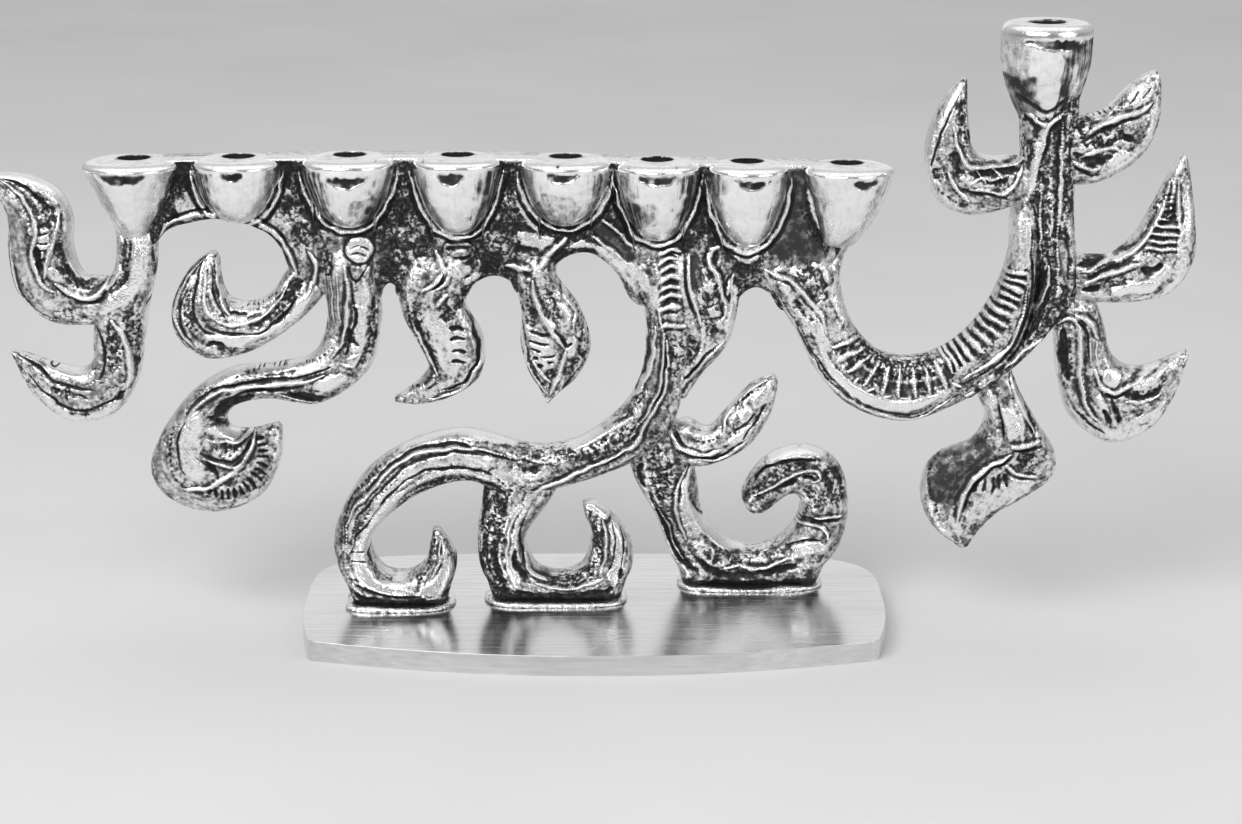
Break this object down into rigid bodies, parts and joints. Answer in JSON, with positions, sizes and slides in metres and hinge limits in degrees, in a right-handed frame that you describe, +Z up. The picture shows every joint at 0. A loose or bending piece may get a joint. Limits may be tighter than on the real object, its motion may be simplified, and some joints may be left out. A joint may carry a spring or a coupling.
{
  "type": "menorah",
  "caption": "Cast openwork candle stand: a row of round cups and one raised cup on scrolling leaf branches, over a flat plate with a bowed front edge.",
  "frame": {"origin": "middle of the plate's underside, on the surface that the object stands on", "axes": "+Z up, +X along the row of cups towards the raised cup, -Y towards the front"},
  "size_m": [0.3757, 0.102, 0.191],
  "materials": {
    "plate": "satin, finely brushed",
    "screw": "plain",
    "web": "cast, darkened, stippled",
    "cup": "polished",
    "branch": "cast, rims polished, recesses darkened"
  },
  "bodies": {
    "root": {"base_plate": "plate", "foot_screws": "screw", "web": "web", "cup_1": "cup", "cup_2": "cup", "cup_3": "cup", "cup_4": "cup", "cup_5": "cup", "cup_6": "cup", "cup_7": "cup", "cup_8": "cup", "raised_cup": "cup", "trunk": "branch", "centre_foot": "branch", "right_foot": "branch", "big_leaf": "branch", "sprout": "branch", "left_arm": "branch", "left_upper_leaf": "branch", "inner_leaf": "branch", "curl": "branch", "flame": "branch", "pendant": "branch", "right_arm": "branch", "stem": "branch", "raised_left_leaf": "branch", "raised_upper_leaf": "branch", "raised_middle_leaf": "branch", "raised_lower_leaf": "branch", "raised_bottom_leaf": "branch"}
  },
  "joints": []
}
